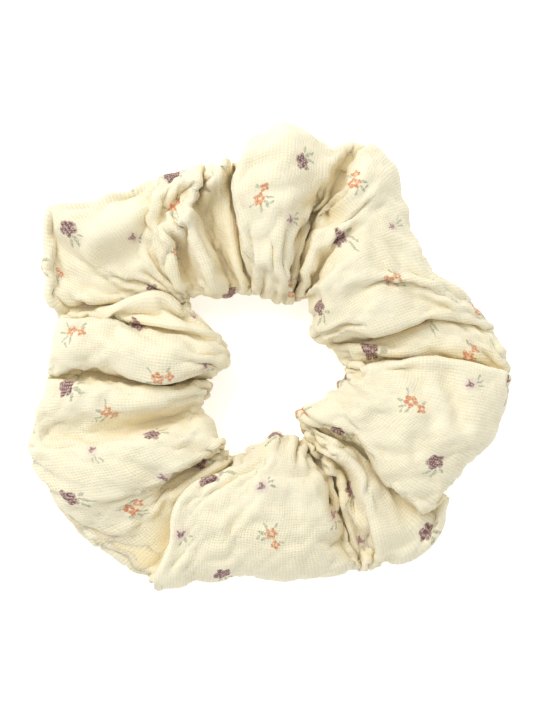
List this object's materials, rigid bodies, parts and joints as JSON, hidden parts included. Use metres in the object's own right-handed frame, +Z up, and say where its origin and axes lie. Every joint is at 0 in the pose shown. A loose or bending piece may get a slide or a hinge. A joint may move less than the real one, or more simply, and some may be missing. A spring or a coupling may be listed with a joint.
{
  "type": "scrunchie",
  "caption": "Gathered cloth hair tie: a sewn tube of printed double gauze with a lapped elastic loop inside, which stretches open and springs back.",
  "frame": {"origin": "under the middle of the scrunchie's box, on the surface it lies on", "axes": "+Z is up, through the hole for the hair; +X is the way the right half slides as the loop stretches; the closing seam is on the -X side"},
  "size_m": [0.1147, 0.1092, 0.0252],
  "materials": {
    "double_gauze": "cream crinkled cotton double gauze with a small floral print, fully matte",
    "braided_elastic": "off-white braided elastic, matte",
    "sewing_thread": "cream spun sewing thread, slight sheen"
  },
  "bodies": {
    "left": {"cover_left_upper": "double_gauze", "cover_left_lower": "double_gauze", "elastic_band": "braided_elastic", "elastic_join_thread": "sewing_thread", "closing_seam_thread": "sewing_thread", "long_seam_thread_left_upper": "sewing_thread", "long_seam_thread_left_lower": "sewing_thread"},
    "right": {"cover_right": "double_gauze", "long_seam_thread_right": "sewing_thread"}
  },
  "joints": [
    {"name": "stretch", "type": "slide", "parent": "left", "child": "right", "axis": [1, 0, 0], "range_m": [0, 0.07], "stiffness_N_per_m": 60, "deforming": ["elastic_band"]}
  ]
}
